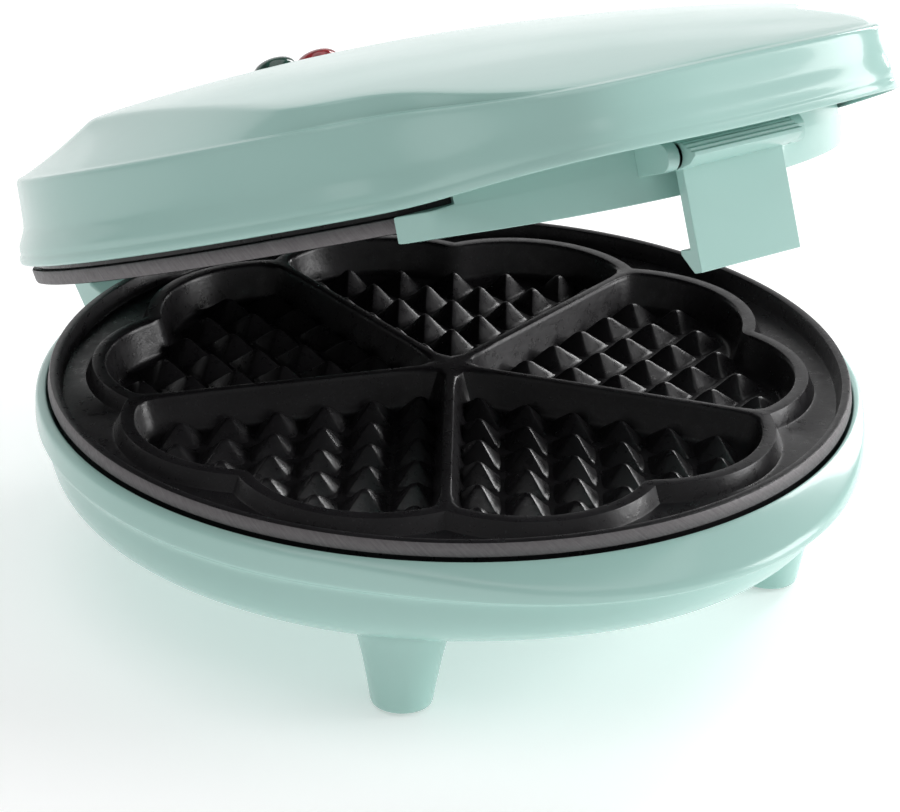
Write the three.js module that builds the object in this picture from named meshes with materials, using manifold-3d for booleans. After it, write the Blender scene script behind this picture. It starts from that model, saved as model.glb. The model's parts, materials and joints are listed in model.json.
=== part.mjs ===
// Heart waffle maker: two hinged non-stick plates in a moulded plastic shell.
// Millimetres, +Z up, the front (handle and latch) towards -Y, the hinge towards +Y.
// The lid is modelled closed, in the base's frame, and then turned open about the hinge axis.

import * as THREE from 'three';
import * as BufferGeometryUtils from 'three/addons/utils/BufferGeometryUtils.js';
import Module from 'manifold-3d';

const wasm = await Module();
wasm.setup();

// ---- driving dimensions ----
const PLATE_R = 95;
const RIDGE_Z = 47.5;
const SEAM_Z = RIDGE_Z + 1.0;
const FIT = 0.3;
const WALL = 2.4;

const OPEN_ANGLE = 21.5;
const HINGE_Y = 102.7;
const HINGE_Z = SEAM_Z - 0.4;
const PIN_R = 2.0;
const EAR_R = 5.2;
const EAR_X = [34, 44];
const KNUCKLE_R = 4.2;
const KNUCKLE_X = [21, 33.4];

const HEARTS = 5;
const HEART_STEP = 2 * Math.PI / HEARTS;
const LOBE_ANGLE = HEART_STEP / 4;
const LOBE_CENTRE = 53;
const RIDGE_LOBE_R = 32;
const RIDGE_LAND = 3.2;
const SEPARATOR = 1.1;
const POCKET_DEPTH = 9;
const POCKET_DRAFT = 2.2;
const STUD_PITCH = 11.5;
const STUD_SIDE = 8.6;
const STUD_HEIGHT = 4.6;
const CHANNEL_Z = RIDGE_Z - 3.9;
const RIM_Z = SEAM_Z - 0.2;
const PLATE_BACK_Z = 36;

const LIP_CENTRE_Y = -28.5;
const LIP_FRONT = 106.5;
const BASE_R = 98;
const FLOOR_R = 60;
const FLOOR_Z = 9.2;

const LID_R = 94.4;
const SKIRT_R = 97.4;
const SKIRT_INNER_R = PLATE_R + 0.4;
const HANDLE_HALF = 57;
const HANDLE_FRONT = 122.5;
const HANDLE_POWER = 5;
const TOP_Z = RIDGE_Z + 39.5;
const TOP_SLOPE = 0.047;
const TOP_INSET = 2.1;
const CROWN_FRONT = 5.6 / PLATE_R ** 2;
const CROWN_REAR = 13 / PLATE_R ** 2;
const CROWN_X = 7.5 / PLATE_R ** 2;
const CREST_SIDE = 71;
const CREST_REAR = 48;
const LID_EDGE_Z = RIDGE_Z + 5.8;
const LID_RIM_Z = RIDGE_Z + 25.6;

const FOOT_X = 53;
const FOOT_Y = 58;
const PAD_TALL = 1.2;

const LATCH_PIVOT_Y = -112;
const LATCH_PIVOT_Z = 54;
const LATCH_HALF = 13.3;
const LATCH_PIN_R = 1.2;

const LAMP_MIDDLE_X = 3;
const LAMP_APART = 12.4;
const LAMP_Y = 55;
const LAMP_SINK = 2.3;
const LAMP_R = 6;
const LAMP_STEM_R = 4;
const LAMP_TILT = -16;

const OUTLINE_STEPS = 48;

// ---- materials ----
const material = (color, roughness, metalness = 0) =>
  new THREE.MeshStandardMaterial({ color, roughness, metalness });
const mint = () => material(0xb4dcd3, 0.25);
const nonStick = () => material(0x1f1f22, 0.55, 0.3);
const steel = () => material(0xb9bcc0, 0.35, 0.9);
const elementSteel = () => material(0x5b5a57, 0.5, 0.8);
const tinPlate = () => material(0xc6c8c8, 0.4, 0.8);
const blackPlastic = () => material(0x17181a, 0.5);
const ceramic = () => material(0xe9e4da, 0.7);
const rubber = () => material(0x9fb9b3, 0.9);
const sleeve = () => material(0xf1eee6, 0.85);
const redLens = () => material(0x9a1822, 0.15);
const greenLens = () => material(0x10463c, 0.15);
const brass = () => material(0xb5963f, 0.35, 0.9);

// ---- solids ----
function solid(geometry) {
  const bare = geometry.clone();
  bare.deleteAttribute('normal');
  bare.deleteAttribute('uv');
  const merged = BufferGeometryUtils.mergeVertices(bare, 1e-4);
  return new wasm.Manifold(new wasm.Mesh({
    numProp: 3,
    vertProperties: new Float32Array(merged.attributes.position.array),
    triVerts: new Uint32Array(merged.index.array),
  }));
}

function geometryOf(manifold) {
  const mesh = manifold.getMesh();
  const geometry = new THREE.BufferGeometry();
  geometry.setAttribute('position', new THREE.BufferAttribute(new Float32Array(mesh.vertProperties), 3));
  geometry.setIndex(new THREE.BufferAttribute(new Uint32Array(mesh.triVerts), 1));
  geometry.computeVertexNormals();
  return geometry;
}

function meshOf(name, shape, finish) {
  const geometry = shape instanceof THREE.BufferGeometry ? shape : geometryOf(shape);
  const mesh = new THREE.Mesh(geometry, finish);
  mesh.name = name;
  return mesh;
}

// A closed solid through a stack of rings, lowest first, each a loop of the same number of points
// that runs anticlockwise seen from above.
function loft(rings) {
  const count = rings[0].length;
  const points = rings.flat().flatMap((p) => [p.x, p.y, p.z]);
  const faces = [];
  for (let level = 0; level + 1 < rings.length; level += 1) {
    for (let i = 0; i < count; i += 1) {
      const a = level * count + i;
      const b = level * count + (i + 1) % count;
      faces.push(a, b, b + count, a, b + count, a + count);
    }
  }
  const cap = (loop) => THREE.ShapeUtils.triangulateShape(loop.map((p) => new THREE.Vector2(p.x, p.y)), []);
  const last = (rings.length - 1) * count;
  cap(rings[0]).forEach(([a, b, c]) => faces.push(a, c, b));
  cap(rings[rings.length - 1]).forEach(([a, b, c]) => faces.push(last + a, last + b, last + c));
  const geometry = new THREE.BufferGeometry();
  geometry.setAttribute('position', new THREE.Float32BufferAttribute(points, 3));
  geometry.setIndex(faces);
  return geometry;
}

function lathe(profile, segments = 32) {
  const points = profile.map(([r, z]) => new THREE.Vector2(r, z));
  return new THREE.LatheGeometry(points, segments).rotateX(Math.PI / 2);
}

// A prism along X of an outline given as [y, z] points.
function prism(outline, x0, x1) {
  const shape = new THREE.Shape(outline.map(([y, z]) => new THREE.Vector2(y, z)));
  const geometry = new THREE.ExtrudeGeometry(shape, { depth: x1 - x0, bevelEnabled: false });
  const yzx = new THREE.Matrix4().set(0, 0, 1, x0, 1, 0, 0, 0, 0, 1, 0, 0, 0, 0, 0, 1);
  return geometry.applyMatrix4(yzx);
}

function box(x0, x1, y0, y1, z0, z1) {
  const geometry = new THREE.BoxGeometry(x1 - x0, y1 - y0, z1 - z0);
  return geometry.translate((x0 + x1) / 2, (y0 + y1) / 2, (z0 + z1) / 2);
}

function rodX(r, x0, x1, y, z, segments = 16) {
  const geometry = new THREE.CylinderGeometry(r, r, x1 - x0, segments).rotateZ(Math.PI / 2);
  return geometry.translate((x0 + x1) / 2, y, z);
}

function rodY(r, x, y0, y1, z, segments = 16) {
  return new THREE.CylinderGeometry(r, r, y1 - y0, segments).translate(x, (y0 + y1) / 2, z);
}

function cone(x, y, z0, r0, z1, r1, segments = 16) {
  const geometry = new THREE.CylinderGeometry(r1, r0, z1 - z0, segments).rotateX(Math.PI / 2);
  return geometry.translate(x, y, (z0 + z1) / 2);
}

function tube(path, r, steps, sides = 8) {
  const section = new THREE.Shape();
  section.absarc(0, 0, r, 0, 2 * Math.PI);
  return new THREE.ExtrudeGeometry(section, { extrudePath: path, steps, curveSegments: sides / 2 });
}

// Points on an arc about (cy, cz) in the [y, z] plane, from angle a0 to a1 in degrees.
function arcYZ(cy, cz, r, a0, a1, steps) {
  return Array.from({ length: steps + 1 }, (_, i) => {
    const a = THREE.MathUtils.degToRad(a0 + (a1 - a0) * i / steps);
    return [cy + r * Math.cos(a), cz + r * Math.sin(a)];
  });
}

function smoothMax(a, b, k) {
  const h = Math.max(k - Math.abs(a - b), 0);
  return Math.max(a, b) + h * h / (4 * k);
}

const smoothMin = (a, b, k) => -smoothMax(-a, -b, k);

// ---- plan outlines: distance from the plate's centre at an angle from the front, towards +X ----
function offsetCircle(angle, reach) {
  const centre = -LIP_CENTRE_Y;
  const r = reach - centre;
  return centre * Math.cos(angle) + Math.sqrt(r * r - (centre * Math.sin(angle)) ** 2);
}

const lipOutline = (angle, r, reach) => smoothMax(r, offsetCircle(angle, reach), 6);

function handleOutline(angle, r, half, reach) {
  if (Math.cos(angle) <= 0) {
    return r;
  }
  const side = Math.abs(Math.sin(angle) / half) ** HANDLE_POWER;
  const front = (Math.cos(angle) / reach) ** HANDLE_POWER;
  return smoothMax(r, (side + front) ** (-1 / HANDLE_POWER), 10);
}

function crestOutline(angle, limit) {
  const side = CREST_SIDE / Math.max(Math.abs(Math.sin(angle)), 0.05);
  const rear = CREST_REAR / Math.max(-Math.cos(angle), 0.05);
  return smoothMin(smoothMin(side, rear, 60), limit, 6);
}

// Height of the lid's gently crowned top, which falls away faster towards the hinge.
const topAt = (x, y) =>
  TOP_Z + TOP_SLOPE * y - (y < 0 ? CROWN_FRONT : CROWN_REAR) * y * y - CROWN_X * x * x;

function ring(radiusAt, heightAt) {
  return Array.from({ length: OUTLINE_STEPS }, (_, i) => {
    const angle = 2 * Math.PI * i / OUTLINE_STEPS;
    const r = radiusAt(angle);
    const x = r * Math.sin(angle);
    const y = -r * Math.cos(angle);
    return new THREE.Vector3(x, y, heightAt(r, x, y));
  });
}

const roundRing = (r, z) => ring(() => r, () => z);

// A ring of the base: round radius, front reach, height at the round part and at the front.
function baseRing(r, reach, z, frontZ = z) {
  const slope = reach > r ? (frontZ - z) / (reach - r) : 0;
  return ring((angle) => lipOutline(angle, r, reach), (rho) => z + slope * Math.max(rho - r, 0));
}

function lidRing(r, half, reach, z, frontZ = z) {
  const slope = (frontZ - z) / (reach - r);
  return ring((angle) => handleOutline(angle, r, half, reach), (rho) => z + slope * Math.max(rho - r, 0));
}

// A ring of the lid's top at a share of the way out to its crest.
function crestRing(share, inset, drop) {
  const limit = (angle) => handleOutline(
    angle, LID_R - TOP_INSET, HANDLE_HALF - TOP_INSET, HANDLE_FRONT - TOP_INSET,
  );
  const radius = (angle) => share * crestOutline(angle, limit(angle)) - inset;
  return ring(radius, (r, x, y) => topAt(x, y) - drop);
}

// ---- base ----
function baseOuter() {
  return loft([
    roundRing(FLOOR_R, FLOOR_Z),
    roundRing(66.5, 9.6),
    baseRing(82, 82.4, 17.8),
    baseRing(91.5, 93, 23.2),
    baseRing(94.6, 98, 27),
    baseRing(95.6, 100.4, 35.4),
    baseRing(97.6, LIP_FRONT - 0.6, 36.6, 36.2),
    baseRing(BASE_R + 0.2, LIP_FRONT, 38, 37.2),
    baseRing(BASE_R, LIP_FRONT, 43.2, 38.2),
    baseRing(97.2, LIP_FRONT - 0.8, 44.2, 39),
    roundRing(95.6, 44.4),
  ]);
}

function baseInner() {
  return loft([
    roundRing(FLOOR_R, FLOOR_Z + WALL),
    roundRing(66, 12),
    roundRing(81, 20.2),
    baseRing(89.2, 91, 25.2),
    baseRing(92.2, 95.6, 28.6),
    baseRing(93.3, 98, 37.4),
    baseRing(95.2, LIP_FRONT - 3, 39.4, 37.6),
    roundRing(95.5, 41.6),
    roundRing(95.5, 60),
  ]);
}

function footPlaces() {
  const places = [];
  [-1, 1].forEach((side) => [-1, 1].forEach((end) => places.push([side * FOOT_X, end * FOOT_Y])));
  return places;
}

function earShape(side) {
  const outline = [[78, 35], [100, 35], [HINGE_Y + EAR_R, HINGE_Z - 4]];
  outline.push(...arcYZ(HINGE_Y, HINGE_Z, EAR_R, 0, 150, 8));
  outline.push([92, 46.5], [78, 46.5]);
  return prism(outline, ...[EAR_X[0] * side, EAR_X[1] * side].sort((a, b) => a - b));
}

const INLET_Z = 27.5;
const INLET_R = 5.5;

function baseShell() {
  let body = solid(baseOuter());
  footPlaces().forEach(([x, y]) => {
    body = body.add(solid(cone(x, y, PAD_TALL - 0.4, 7, 24, 11.6, 14)));
  });
  [-1, 1].forEach((side) => {
    body = body.add(solid(earShape(side)));
  });
  body = body.subtract(solid(baseInner()));
  footPlaces().forEach(([x, y]) => {
    body = body.subtract(solid(cone(x, y, 4.5, 4.2, 25, 8.6, 8)));
    body = body.subtract(solid(cone(x, y, -1, 5.3, PAD_TALL + 1.2, 5.3, 12)));
  });
  [-1, 1].forEach((side) => {
    const bore = [EAR_X[0] * side - 6 * side, EAR_X[1] * side - 2 * side].sort((a, b) => a - b);
    body = body.subtract(solid(rodX(PIN_R + FIT, ...bore, HINGE_Y, HINGE_Z)));
  });
  return body.subtract(solid(rodY(INLET_R, 0, 80, 110, INLET_Z)));
}

function footPad(x, y) {
  return lathe([[0, 0], [4.4, 0], [5, 0.5], [5, PAD_TALL + 0.9], [0, PAD_TALL + 0.9]], 12).translate(x, y, 0);
}

// ---- plates ----
function lobeEdge(angle, lobeR) {
  const turned = ((angle % HEART_STEP) + HEART_STEP * 1.5) % HEART_STEP - HEART_STEP / 2;
  const delta = Math.abs(turned) - LOBE_ANGLE;
  return LOBE_CENTRE * Math.cos(delta) + Math.sqrt(lobeR ** 2 - (LOBE_CENTRE * Math.sin(delta)) ** 2);
}

function ridge(lobeR, z) {
  const count = 70;
  return Array.from({ length: count }, (_, i) => {
    const angle = 2 * Math.PI * i / count;
    const r = lobeEdge(angle, lobeR);
    return new THREE.Vector3(r * Math.sin(angle), -r * Math.cos(angle), z);
  });
}

// A heart's outline about the plate's centre, its cleft facing the front, drawn in by inset.
function heart(inset, z) {
  const lobeR = RIDGE_LOBE_R - RIDGE_LAND - inset;
  const gap = SEPARATOR + inset;
  const half = HEART_STEP / 2;
  const steps = 12;
  const tip = gap / Math.sin(half);
  const edge = (angle) => lobeEdge(angle, lobeR);
  const widest = half - Math.asin(gap / edge(half * 0.96));
  const points = [new THREE.Vector3(0, -tip, z)];
  for (let i = 0; i <= steps; i += 1) {
    const angle = widest * (2 * i / steps - 1);
    points.push(new THREE.Vector3(edge(angle) * Math.sin(angle), -edge(angle) * Math.cos(angle), z));
  }
  return points;
}

function insideHeart(x, y, margin) {
  const r = Math.hypot(x, y);
  const angle = Math.atan2(x, -y);
  const fromSide = r * Math.sin(HEART_STEP / 2 - Math.abs(angle));
  return fromSide > SEPARATOR + margin && r < lobeEdge(angle, RIDGE_LOBE_R - RIDGE_LAND) - margin;
}

// A pointed stud whose base is a rhombus, its sides along the heart's two straight sides.
function stud(x, y, z) {
  const half = HEART_STEP / 2;
  const buried = 1;
  const geometry = new THREE.ConeGeometry(1, STUD_HEIGHT + buried, 4).rotateX(Math.PI / 2);
  geometry.scale(STUD_SIDE * Math.sin(half) * 1.2, STUD_SIDE * Math.cos(half) * 1.2, 1);
  return geometry.translate(x, y, z + (STUD_HEIGHT - buried) / 2);
}

function heartStuds(floorZ) {
  const half = HEART_STEP / 2;
  const start = SEPARATOR / Math.sin(2 * half) + STUD_PITCH * 0.55;
  const studs = [];
  for (let i = 0; i < 7; i += 1) {
    for (let j = 0; j < 7; j += 1) {
      const s = start + i * STUD_PITCH;
      const t = start + j * STUD_PITCH;
      const x = (s - t) * Math.sin(half);
      const y = -(s + t) * Math.cos(half);
      if (insideHeart(x, y, STUD_SIDE * 0.7)) {
        studs.push(stud(x, y, floorZ));
      }
    }
  }
  return studs;
}

function wafflePlate() {
  const floorZ = RIDGE_Z - POCKET_DEPTH;
  let body = solid(lathe([
    [0, PLATE_BACK_Z], [88, PLATE_BACK_Z], [90.5, 41], [PLATE_R, 41.4], [PLATE_R - 0.5, RIM_Z],
    [PLATE_R - 2.6, RIM_Z], [PLATE_R - 3.4, CHANNEL_Z], [0, CHANNEL_Z],
  ], 60));
  body = body.add(solid(loft([ridge(RIDGE_LOBE_R + 1.6, CHANNEL_Z - 1), ridge(RIDGE_LOBE_R, RIDGE_Z)])));
  for (let i = 0; i < HEARTS; i += 1) {
    const pocket = loft([heart(POCKET_DRAFT, floorZ), heart(0, RIDGE_Z), heart(-0.1, RIDGE_Z + 1)]);
    body = body.subtract(solid(pocket.rotateZ(i * HEART_STEP)));
    const studs = heartStuds(floorZ).map((shape) => solid(shape.rotateZ(i * HEART_STEP)));
    body = studs.reduce((whole, shape) => whole.add(shape), body);
  }
  return geometryOf(body);
}

// A shape for the base turned over about the seam, to serve in the lid.
function turnOver(geometry) {
  const turned = geometry.clone();
  return turned.rotateY(Math.PI).translate(0, 0, 2 * SEAM_Z);
}

const ELEMENT_R = 3.2;
const ELEMENT_RING = 55;
const ELEMENT_Z = PLATE_BACK_Z - FIT - ELEMENT_R;

class ElementPath extends THREE.Curve {
  getPoint(t, target = new THREE.Vector3()) {
    const gap = THREE.MathUtils.degToRad(16);
    const a = Math.PI / 2 + gap + t * (2 * Math.PI - 2 * gap);
    const tail = Math.max(0, Math.abs(t - 0.5) - 0.44) / 0.06;
    const r = ELEMENT_RING + 14 * tail * tail;
    return target.set(r * Math.cos(a), r * Math.sin(a), ELEMENT_Z);
  }
}

const heatingElement = () => tube(new ElementPath(), ELEMENT_R, 40);

function reflector() {
  return lathe([
    [0, 26.4], [79, 26.4], [83.6, 31], [83.6, 34.6], [82.8, 34.6], [82.8, 31.4], [78.6, 27.2], [0, 27.2],
  ], 30);
}

function screw(x, y, z0, z1, headR = 3, shankR = 1.4) {
  const headZ = z0 + 1.8;
  return lathe([[0, z0], [headR, z0], [headR, headZ], [shankR, headZ], [shankR, z1], [0, z1]], 8)
    .translate(x, y, 0);
}

const SCREW_RING = 34;

function screwPlaces() {
  return [0, 1, 2].map((i) => {
    const a = 2 * Math.PI * i / 3 + Math.PI / 6;
    return [SCREW_RING * Math.cos(a), SCREW_RING * Math.sin(a)];
  });
}

function drilledReflector() {
  return screwPlaces().reduce(
    (body, [x, y]) => body.subtract(solid(cone(x, y, 20, 1.9, 40, 1.9, 12))),
    solid(reflector()),
  );
}

function drilledPlate() {
  return screwPlaces().reduce(
    (body, [x, y]) => body.subtract(solid(cone(x, y, 20, 1.7, PLATE_BACK_Z + 1.4, 1.7, 12))),
    solid(wafflePlate()),
  );
}

const thermostatCup = () => lathe([[0, 27.6], [8, 27.6], [8, 33.6], [6.5, 35.6], [0, 35.6]], 20);

const fuseBarrel = (y) => rodX(2.2, -14, 14, y, 30.4, 10);

// ---- lid ----
function lidOuter() {
  return loft([
    lidRing(SKIRT_R - 0.7, HANDLE_HALF, HANDLE_FRONT + 1.2, LID_EDGE_Z, LID_EDGE_Z + 3.8),
    lidRing(SKIRT_R, HANDLE_HALF + 0.4, HANDLE_FRONT + 1.5, LID_EDGE_Z + 1, LID_EDGE_Z + 4.8),
    lidRing(SKIRT_R - 0.2, HANDLE_HALF + 0.2, HANDLE_FRONT + 1.4, LID_EDGE_Z + 3.4, LID_EDGE_Z + 6.6),
    lidRing(SKIRT_R - 1.3, HANDLE_HALF, HANDLE_FRONT + 1.1, LID_EDGE_Z + 4.6, LID_EDGE_Z + 7.6),
    lidRing(LID_R + 0.2, HANDLE_HALF - 0.6, HANDLE_FRONT, LID_RIM_Z - 3, LID_RIM_Z - 4.4),
    lidRing(LID_R - 0.6, HANDLE_HALF - 1, HANDLE_FRONT - 0.6, LID_RIM_Z - 0.8, LID_RIM_Z - 2.3),
    lidRing(LID_R - 1.8, HANDLE_HALF - 2, HANDLE_FRONT - 1.6, LID_RIM_Z, LID_RIM_Z - 1.6),
    crestRing(1, 0.8, 0.3),
    crestRing(1, 4, 0),
    crestRing(0.6, 0, 0),
    crestRing(0.25, 0, 0),
  ]);
}

function lidInner() {
  return loft([
    lidRing(SKIRT_INNER_R, HANDLE_HALF - 2, HANDLE_FRONT - 1.4, 40),
    lidRing(SKIRT_INNER_R, HANDLE_HALF - 2, HANDLE_FRONT - 1.4, LID_EDGE_Z + 2.7, LID_EDGE_Z + 5.7),
    lidRing(LID_R - 0.4, HANDLE_HALF - 2.2, HANDLE_FRONT - 1.6, LID_EDGE_Z + 5, LID_EDGE_Z + 8),
    lidRing(LID_R - 2.6, HANDLE_HALF - 4, HANDLE_FRONT - 3, LID_RIM_Z - 3.6, LID_RIM_Z - 5.6),
    crestRing(1, 3.4, 3.4),
    crestRing(0.6, 0, WALL),
    crestRing(0.25, 0, WALL),
  ]);
}

function knuckleShape(side) {
  const outline = [[98.6, HINGE_Z], ...arcYZ(HINGE_Y, HINGE_Z, KNUCKLE_R, 180, 360, 8)];
  outline.push([HINGE_Y + KNUCKLE_R, 56], [103, 61], [86, 63], [86, 54], [98.6, 54]);
  return prism(outline.slice(1), ...[KNUCKLE_X[0] * side, KNUCKLE_X[1] * side].sort((a, b) => a - b));
}

const lampPlaces = {
  red_lamp_lens: LAMP_MIDDLE_X + LAMP_APART / 2,
  green_lamp_lens: LAMP_MIDDLE_X - LAMP_APART / 2,
};

// Moves a shape built upright at the origin onto the lid's rear slope, just behind the crest.
function onLampSlope(geometry, x) {
  const turned = geometry.clone().rotateX(THREE.MathUtils.degToRad(LAMP_TILT));
  return turned.translate(x, LAMP_Y, topAt(x, CREST_REAR) - LAMP_SINK);
}

function lidShell() {
  let body = solid(lidOuter());
  [-1, 1].forEach((side) => {
    body = body.add(solid(knuckleShape(side)));
  });
  body = body.subtract(solid(lidInner()));
  [-1, 1].forEach((side) => {
    const bore = [(KNUCKLE_X[0] + 1.6) * side, (KNUCKLE_X[1] + 4) * side].sort((a, b) => a - b);
    body = body.subtract(solid(rodX(PIN_R + FIT, ...bore, HINGE_Y, HINGE_Z)));
  });
  Object.values(lampPlaces).forEach((x) => {
    const holeR = LAMP_STEM_R + FIT;
    const hole = onLampSlope(cone(0, 0, -9, holeR, 9, holeR, 20), x);
    body = body.subtract(solid(hole));
  });
  return body;
}

function hingePin(side) {
  const ends = [(KNUCKLE_X[0] + 2) * side, (EAR_X[1] - 2.4) * side].sort((a, b) => a - b);
  return rodX(PIN_R, ...ends, HINGE_Y, HINGE_Z, 16);
}

const lampLens = () => lathe([
  [0, -5.8], [LAMP_STEM_R, -5.8], [LAMP_STEM_R, 0.3], [LAMP_R, 0.3], [LAMP_R * 0.96, 2.2],
  [LAMP_R * 0.78, 3.5], [LAMP_R * 0.42, 4.6], [0, 5],
], 20);

const LAMP_BOARD_Z = 72.2;

function lampHolder() {
  const board = box(-LAMP_APART, LAMP_APART, LAMP_Y - 8, LAMP_Y + 6, LAMP_BOARD_Z - 1.3, LAMP_BOARD_Z);
  return board.translate(LAMP_MIDDLE_X, 0, 0);
}

function neonLamp(x) {
  const bulb = lathe([[0, 0], [1.6, 0], [1.6, 3.6], [0.8, 4.6], [0, 4.8]], 10);
  return bulb.translate(x, LAMP_Y - 1.4, LAMP_BOARD_Z + FIT);
}

// ---- handle cover and latch ----
const COVER_FRONT = LIP_FRONT - 0.1;
const COVER_BACK = 96.1;
const COVER_SPAN = 31;
const COVER_LOW_SPAN = 34;
const COVER_FOOT_SPAN = 38.5;

// A crescent ring of the handle's lower cover: its front edge, its back edge and the half angle of each.
function coverRing(front, back, z, span = COVER_SPAN, backSpan = span, sag = 0) {
  const steps = 14;
  const shares = Array.from({ length: steps + 1 }, (_, i) => 2 * i / steps - 1);
  const at = (share, degrees, radius) => {
    const angle = THREE.MathUtils.degToRad(degrees) * share;
    const r = radius(angle);
    return new THREE.Vector3(r * Math.sin(angle), -r * Math.cos(angle), z - sag * (1 - share * share));
  };
  const outer = shares.map((share) => at(share, span, (angle) => offsetCircle(angle, front)));
  const inner = shares.reverse().map((share) => at(share, backSpan, () => back));
  return [...outer, ...inner];
}

function handleCover() {
  const lowZ = RIDGE_Z - 0.9;
  const topZ = LID_EDGE_Z + 7;
  const sag = 1.4;
  let body = solid(loft([
    coverRing(COVER_FRONT - 1.2, COVER_BACK + 0.5, lowZ, COVER_LOW_SPAN, COVER_FOOT_SPAN, sag),
    coverRing(COVER_FRONT - 0.4, COVER_BACK + 0.1, lowZ + 1, COVER_LOW_SPAN, COVER_FOOT_SPAN, sag),
    coverRing(COVER_FRONT, COVER_BACK, LID_EDGE_Z - 1, COVER_LOW_SPAN, COVER_FOOT_SPAN),
    coverRing(COVER_FRONT, COVER_BACK, LID_EDGE_Z - 0.4),
    coverRing(COVER_FRONT, COVER_BACK, topZ),
  ]));
  const hollowSpan = COVER_SPAN - 8;
  const hollow = solid(loft([
    coverRing(COVER_FRONT - 3.2, 98.4, lowZ + 2.2, hollowSpan),
    coverRing(COVER_FRONT - 2.4, 98.2, topZ + 3, hollowSpan),
  ]));
  body = body.subtract(hollow);
  const lug = [[-103, LATCH_PIVOT_Z - 3.4], [LATCH_PIVOT_Y, LATCH_PIVOT_Z - 3.2]];
  lug.push(...arcYZ(LATCH_PIVOT_Y, LATCH_PIVOT_Z, 3.2, 270, 90, 8), [-103, LATCH_PIVOT_Z + 3.2]);
  [-1, 1].forEach((side) => {
    const ends = [15 * side, 18.2 * side].sort((a, b) => a - b);
    body = body.add(solid(prism(lug, ...ends)).subtract(hollow));
  });
  const pinHole = rodX(LATCH_PIN_R + FIT, -17, 17, LATCH_PIVOT_Y, LATCH_PIVOT_Z, 12);
  return body.subtract(solid(pinHole));
}

function latchClip() {
  const inner = LATCH_PIVOT_Y + 1.8;
  const outer = LATCH_PIVOT_Y - 0.6;
  const hook = inner + 3.4;
  const plate = [
    [outer, 52], [outer, 29.4], [inner, 29.4], [hook, 33.4], [hook, 34.6], [inner, 34.6], [inner, 52],
  ];
  const bar = [
    [outer + 1, 50.6], [outer - 4.4, 51.6], [outer - 6.4, 53.2], [outer - 6.4, 55.4], [outer - 3, 56.4],
    [outer + 1, 56.4],
  ];
  let body = solid(prism(plate, -LATCH_HALF, LATCH_HALF));
  body = body.add(solid(rodX(3.1, -14.4, 14.4, LATCH_PIVOT_Y, LATCH_PIVOT_Z, 20)));
  body = body.add(solid(prism(bar, -14.4, 14.4)));
  return body.subtract(solid(rodX(LATCH_PIN_R + FIT, -20, 20, LATCH_PIVOT_Y, LATCH_PIVOT_Z, 12)));
}

const latchPin = () => rodX(LATCH_PIN_R, -16.8, 16.8, LATCH_PIVOT_Y, LATCH_PIVOT_Z, 12);

// ---- cord entry and wiring pieces in the base ----
function cordGrommet() {
  const wall = 95.4;
  const ringProfile = [
    [3.3, -6], [5, -6], [INLET_R - FIT, -1], [INLET_R - FIT, 3.8], [6.9, 3.8], [6.9, 5.4], [3.3, 5.4],
    [3.3, -6],
  ];
  return lathe(ringProfile, 20).rotateX(-Math.PI / 2).translate(0, wall - 3.2, INLET_Z);
}

const cordClamp = () => prism(
  [[62, 16.8], [70, 16.8], [70, 21], [68, 22.6], [64, 22.6], [62, 21]], -11, 11,
);

const terminalBlock = () => box(-13, 13, 40, 52, 12.2, 21);

// ---- assembly ----
const base = new THREE.Group();
base.add(meshOf('base_shell', baseShell(), mint()));
footPlaces().forEach(([x, y], i) => base.add(meshOf(`foot_pad_${i + 1}`, footPad(x, y), rubber())));
base.add(meshOf('lower_plate', drilledPlate(), nonStick()));
base.add(meshOf('lower_heating_element', heatingElement(), elementSteel()));
base.add(meshOf('lower_reflector', drilledReflector(), tinPlate()));
screwPlaces().forEach(([x, y], i) => {
  base.add(meshOf(`lower_plate_screw_${i + 1}`, screw(x, y, 24.2, PLATE_BACK_Z + 1), steel()));
});
base.add(meshOf('thermostat', thermostatCup(), blackPlastic()));
base.add(meshOf('thermal_fuse', fuseBarrel(-26), sleeve()));
base.add(meshOf('terminal_block', terminalBlock(), ceramic()));
base.add(meshOf('cord_clamp', cordClamp(), blackPlastic()));
base.add(meshOf('cord_grommet', cordGrommet(), blackPlastic()));
base.add(meshOf('hinge_pin_left', hingePin(-1), steel()));
base.add(meshOf('hinge_pin_right', hingePin(1), steel()));

const lid = new THREE.Group();
lid.add(meshOf('lid_shell', lidShell(), mint()));
lid.add(meshOf('handle_cover', handleCover(), mint()));
lid.add(meshOf('upper_plate', turnOver(geometryOf(drilledPlate())), nonStick()));
lid.add(meshOf('upper_heating_element', turnOver(heatingElement()), elementSteel()));
lid.add(meshOf('upper_reflector', turnOver(geometryOf(drilledReflector())), tinPlate()));
screwPlaces().forEach(([x, y], i) => {
  lid.add(meshOf(`upper_plate_screw_${i + 1}`, turnOver(screw(x, y, 24.2, PLATE_BACK_Z + 1)), steel()));
});
lid.add(meshOf('upper_thermal_fuse', turnOver(fuseBarrel(-26)), sleeve()));
lid.add(meshOf('lamp_holder', lampHolder(), blackPlastic()));
Object.entries(lampPlaces).forEach(([name, x]) => {
  const finish = name.startsWith('red') ? redLens() : greenLens();
  lid.add(meshOf(name, onLampSlope(lampLens(), x), finish));
  lid.add(meshOf(name.replace('lens', 'bulb'), neonLamp(x), brass()));
});
lid.add(meshOf('latch_pin', latchPin(), steel()));
lid.add(meshOf('latch_clip', latchClip(), mint()));

// The lid turns open about the hinge axis.
const lidTurn = new THREE.Group();
lidTurn.position.set(0, HINGE_Y, HINGE_Z);
lidTurn.rotation.x = THREE.MathUtils.degToRad(-OPEN_ANGLE);
lid.position.set(0, -HINGE_Y, -HINGE_Z);
lidTurn.add(lid);

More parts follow.
